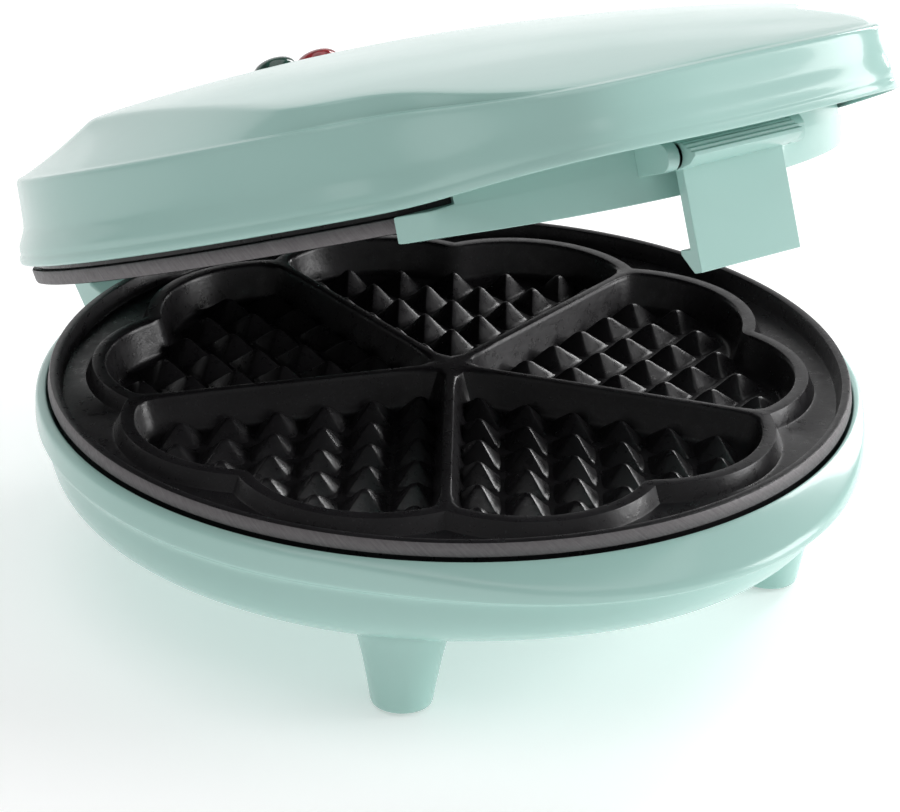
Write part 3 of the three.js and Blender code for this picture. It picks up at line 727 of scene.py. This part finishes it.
def plate_sector(plate, turn):
    """One heart's share of a plate: pocket, ridge, channel, rim and underside."""
    spin = Matrix.Rotation(turn, 3, "Z")

    def add(points, faces, sanded=False):
        plate.add([tuple(spin @ Vector(point)) for point in points], faces, sanded)

    floor_z = RIDGE_Z - POCKET_DEPTH

    def wall_inset(z):
        return POCKET_DRAFT * (RIDGE_Z - z) / POCKET_DEPTH

    levels = [
        (POCKET_DRAFT + 1.3, floor_z, 3), (POCKET_DRAFT + 0.6, floor_z + 0.12, 3),
        (POCKET_DRAFT + 0.1, floor_z + 0.5, 3), (wall_inset(floor_z + 1.4), floor_z + 1.4, 3),
        (wall_inset(RIDGE_Z - 1), RIDGE_Z - 1, 2), (0.05, RIDGE_Z - 0.35, 2),
        (-0.15, RIDGE_Z - 0.08, 1), (-0.45, RIDGE_Z, 1),
    ]
    loops = [soften(heart_loop(inset, z), passes) for inset, z, passes in levels]
    add(loops[0], [list(range(len(loops[0])))])
    for first, second in zip(loops, loops[1:]):
        add(*strip(first, second, True))
    land = sector_arc(lambda angle: lobe_edge(angle, RIDGE_LOBE_R - 0.45), RIDGE_Z)
    flat = [(x, y) for x, y, _ in land]
    edge = [(x, y, RIDGE_Z) for x, y in closed_side((0.0, 0.0), flat)]
    add(*strip(loops[-1], edge, True))
    rows = [land]
    for lobe_r, z in (
        (RIDGE_LOBE_R - 0.12, RIDGE_Z - 0.08), (RIDGE_LOBE_R + 0.06, RIDGE_Z - 0.4),
        (RIDGE_LOBE_R + 1.2, CHANNEL_Z + 0.7), (RIDGE_LOBE_R + 1.5, CHANNEL_Z + 0.2),
        (RIDGE_LOBE_R + 2.2, CHANNEL_Z),
    ):
        rows.append(sector_arc(lambda angle, r=lobe_r: lobe_edge(angle, r), z))
    rim = [
        (90.6, CHANNEL_Z), (91.4, CHANNEL_Z + 0.15), (91.75, CHANNEL_Z + 0.7), (92.2, RIM_Z - 0.6),
        (92.45, RIM_Z - 0.15), (92.9, RIM_Z), (93.9, RIM_Z), (94.35, RIM_Z - 0.15), (94.6, RIM_Z - 0.6),
        (PLATE_R - 0.05, 45.4), (PLATE_R - 0.2, 45.1), (PLATE_R - 0.5, 45), (93.9, 45), (93.6, 44.7),
        (93.6, 41.6), (93.3, 41.3), (90.4, 41), (88, PLATE_BACK_Z), (60, PLATE_BACK_Z), (20, PLATE_BACK_Z),
    ]
    wall_rows = range(len(rows) + 7, len(rows) + 11)
    for r, z in rim:
        rows.append(sector_arc(lambda angle, reach=r: reach, z))
    for number, (first, second) in enumerate(zip(rows, rows[1:])):
        add(*strip(first, second, False), number in wall_rows)
    under = rows[-1]
    middle = len(under)
    add(under + [(0.0, 0.0, PLATE_BACK_Z)], [[i, i + 1, middle] for i in range(middle - 1)])


def inside_heart(x, y, margin):
    """Whether a point lies inside the front heart's floor by at least the margin."""
    r = math.hypot(x, y)
    angle = math.atan2(x, -y)
    from_side = r * math.sin(HALF_STEP - abs(angle))
    return from_side > SEPARATOR + margin and r < lobe_edge(angle, RIDGE_LOBE_R - RIDGE_LAND) - margin


def stud(plate, x, y, turn):
    """A blunt pointed stud on a rhombus base, its sides along the heart's straight sides."""
    spin = Matrix.Rotation(turn, 3, "Z")
    floor_z = RIDGE_Z - POCKET_DEPTH
    across = STUD_SIDE * math.sin(HALF_STEP)
    along = STUD_SIDE * math.cos(HALF_STEP)
    rings = []
    for height, share in (
        (-0.5, 1.16), (0.0, 1.1), (0.25, 1.0), (0.7, 0.9), (3.9, 0.26), (4.35, 0.14), (4.55, 0.03),
    ):
        loop = []
        for i in range(STUD_STEPS):
            t = 2 * math.pi * i / STUD_STEPS
            u = math.copysign(abs(math.cos(t)) ** STUD_CORNER, math.cos(t)) * across * share
            v = math.copysign(abs(math.sin(t)) ** STUD_CORNER, math.sin(t)) * along * share
            loop.append(tuple(spin @ Vector((x + u, y + v, floor_z + height))))
        rings.append(loop)
    plate.loft(rings)


def stud_places():
    """Where studs stand in the front heart: a rhombus grid whose rows follow its straight sides."""
    start = SEPARATOR / math.sin(HEART_STEP) + STUD_PITCH * 0.55
    places = []
    for i in range(7):
        for j in range(7):
            s = start + i * STUD_PITCH
            t = start + j * STUD_PITCH
            x = (s - t) * math.sin(HALF_STEP)
            y = -(s + t) * math.cos(HALF_STEP)
            if inside_heart(x, y, STUD_SIDE * 0.55):
                places.append((x, y))
    return places


def waffle_plate(name, body, place, node):
    """A whole plate: the same sector turned to each heart, with its studs."""
    plate = Body()
    for k in range(HEARTS):
        turn = k * HEART_STEP
        plate_sector(plate, turn)
        for x, y in stud_places():
            stud(plate, x, y, turn)
    return plate.piece(name, body, place, "non_stick_plate", [node], sharp=38)


# ---- handle cover and latch ----
def cover_ring(front, back, z, span, back_span, sag=0.0):
    """One level of the handle cover: a crescent between two arcs, each of its own half-angle in degrees."""
    steps = 40
    shares = [2 * i / steps - 1 for i in range(steps + 1)]

    def at(share, degrees, radius):
        angle = math.radians(degrees) * share
        r = radius(angle)
        return (r * math.sin(angle), -r * math.cos(angle), z - sag * (1 - share * share))

    outer = [at(share, span, lambda angle: offset_circle(angle, front)) for share in shares]
    inner = [at(share, back_span, lambda angle: back) for share in reversed(shares)]
    return outer + inner


def handle_cover():
    """The handle's lower half, with the two lugs that hold the latch pin."""
    low_z = RIDGE_Z - 0.9
    front = LIP_FRONT - 0.2
    body = Body()
    body.loft([
        cover_ring(front - 0.8, 96.4, low_z, 33.8, 38.3, 1.4),
        cover_ring(front, 96.2, LID_EDGE_Z - 1.1, 33.8, 38.3),
        cover_ring(front, 96.2, LID_EDGE_Z - 0.5, 30.8, 31),
        cover_ring(front, 96.2, LID_EDGE_Z + 6.8, 30.8, 31),
    ], fans=False)
    for side in (-1, 1):
        lug = [(-104, LATCH_Z - 3.3), (LATCH_Y, LATCH_Z - 3.1)] + arc(LATCH_Y, LATCH_Z, 3.1, 270, 90, 14)
        lug += [(-104, LATCH_Z + 3.1)]
        body.loft(prism_rings(lug, *sorted((15.1 * side, 18.1 * side))), fans=False)
    return body.piece("handle_underside", "lid", lid_point, "mint_shell", ["handle_cover"], bevel=0.7)


def latch():
    """The latch: a flat tongue with a hook at its end, a barrel round its pin and a stepped grip bar."""
    inner = LATCH_Y + 1.8
    outer = LATCH_Y - 0.6
    hook = inner + 3.3
    tongue = [
        (outer, 52), (outer, 29.6), (inner, 29.5), (hook, 33.5), (hook, 34.5), (inner, 34.5), (inner, 52),
    ]
    grip = [
        (outer + 1, 50.7), (outer - 4.2, 51.8), (outer - 6.2, 53.3), (outer - 6.2, 54.2),
        (outer - 5.2, 54.3), (outer - 5.1, 55), (outer - 4.0, 55.1), (outer - 3.9, 55.8),
        (outer - 2.8, 55.9), (outer - 2.6, 56.3), (outer + 1, 56.3),
    ]
    barrel = arc(LATCH_Y, LATCH_Z, 3.05, 0, 351, 39)
    body = Body()
    body.loft(prism_rings(tongue, -LATCH_HALF + 0.05, LATCH_HALF - 0.05), fans=False)
    body.loft(prism_rings(barrel, -14.3, 14.3), fans=False)
    body.loft(prism_rings(grip, -14.3, 14.3), fans=False)
    return body.piece("latch_tongue", "latch", lid_point, "mint_shell", ["latch_clip"], bevel=0.35)


# ---- lamps ----
def lamp(name, slot, node):
    """A domed lens with a narrow collar, its skirt let into the lid's rear slope."""
    low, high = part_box(node)
    x = (low.x + high.x) / 2 / MM
    profile = [
        (3.9, -5.6), (3.9, -1.4), (5.5, -1.4), (5.6, 0.3), (5.9, 0.5), (5.95, 0.9), (5.8, 1.3), (5.62, 1.4),
        (5.58, 2.2), (5.35, 2.9), (4.9, 3.5), (4.2, 4.05), (3.2, 4.5), (2, 4.8), (0.8, 4.92),
    ]
    tilt = Matrix.Rotation(LAMP_TILT, 3, "X")
    seat = Vector((x, LAMP_Y, top_at(x, CREST_REAR) - LAMP_SINK))

    def place(px, py, pz):
        return lid_point(*(tilt @ Vector((px, py, pz)) + seat))

    lens = Body()
    lens.loft(lathe_rings(profile, ROUND_STEPS))
    return lens.piece(name, "lid", place, slot, [node], sharp=40)


# ---- everything ----
def dress_cad_nodes():
    """Gives every CAD node the finish of its slot, also where a finer piece stands for it."""
    for item in frame["record"]["subparts"]:
        node = frame["nodes"].get(item["node"])
        if node is None:
            continue
        node.data.materials.clear()
        node.data.materials.append(FINISHES[item["material_slot"]])
        node.data.polygons.foreach_set("use_smooth", [True] * len(node.data.polygons))
        node.data.set_sharp_from_angle(angle=math.radians(35))


def area_light(name, place, target, size, power):
    data = bpy.data.lights.new(name, "AREA")
    data.shape = "RECTANGLE"
    data.size, data.size_y = size
    data.energy = power
    light = bpy.data.objects.new(name, data)
    light.location = place
    light.rotation_euler = (Vector(target) - Vector(place)).to_track_quat("-Z", "Y").to_euler()
    bpy.context.scene.collection.objects.link(light)


def studio():
    """The floor, the world's soft light and four area lights."""
    size = 6
    mesh = bpy.data.meshes.new("floor")
    corners = [(-size, -size, 0), (size, -size, 0), (size, size, 0), (-size, size, 0)]
    mesh.from_pydata(corners, [], [[0, 1, 2, 3]])
    mesh.materials.append(floor_finish())
    floor = bpy.data.objects.new("floor", mesh)
    bpy.context.scene.collection.objects.link(floor)
    world = bpy.data.worlds.new("studio")
    world.use_nodes = True
    world.node_tree.nodes["Background"].inputs["Color"].default_value = (1, 1, 1, 1)
    world.node_tree.nodes["Background"].inputs["Strength"].default_value = 0.22
    bpy.context.scene.world = world
    middle = (0, 0, 0.07)
    area_light("top", (-0.1, -0.1, 1.5), middle, (1.6, 2.0), 11)
    area_light("right", (1.3, 0.4, 0.6), middle, (0.35, 1.0), 9)
    area_light("rear", (0.2, 1.6, 0.5), middle, (3.2, 1.1), 6.5)
    area_light("front", (1.3, -0.85, 0.5), middle, (0.7, 0.9), 14)
    bpy.context.scene.view_settings.view_transform = "Standard"


def camera():
    """The camera, its place given about the plate's middle in plate radii."""
    azimuth = math.radians(-35.8)
    elevation = math.radians(24.72)
    roll = math.radians(1.32)
    distance = 7.5
    radius = PLATE_R * MM
    aim = Vector((-0.1473 * radius, -0.2067 * radius + MIDDLE.y, RIDGE_Z * MM))
    level = math.cos(elevation)
    back = Vector((math.sin(azimuth) * level, -math.cos(azimuth) * level, math.sin(elevation)))
    right = Vector((math.cos(azimuth), math.sin(azimuth), 0))
    up = back.cross(right)
    across = right * math.cos(roll) + up * math.sin(roll)
    upward = up * math.cos(roll) - right * math.sin(roll)
    data = bpy.data.cameras.new("camera")
    data.sensor_width = 36
    data.lens = 123.73
    data.clip_start = 0.05
    view = bpy.data.objects.new("camera", data)
    turn = Matrix((across, upward, back)).transposed().to_4x4()
    view.matrix_world = Matrix.Translation(aim + back * distance * radius) @ turn
    bpy.context.scene.collection.objects.link(view)
    bpy.context.scene.camera = view


camera()
studio()
dress_cad_nodes()
base_shell()
for foot_number, foot_x, foot_y in foot_places():
    foot(foot_number, foot_x, foot_y)
for hinge_side in (-1, 1):
    ear(hinge_side)
    knuckle(hinge_side)
grommet()
waffle_plate("lower_waffle_plate", "base", base_point, "lower_plate")
waffle_plate("upper_waffle_plate", "lid", over_point, "upper_plate")
lid_shell()
handle_cover()
latch()
lamp("red_lamp_dome", "red_lens", "red_lamp_lens")
lamp("green_lamp_dome", "green_lens", "green_lamp_lens")
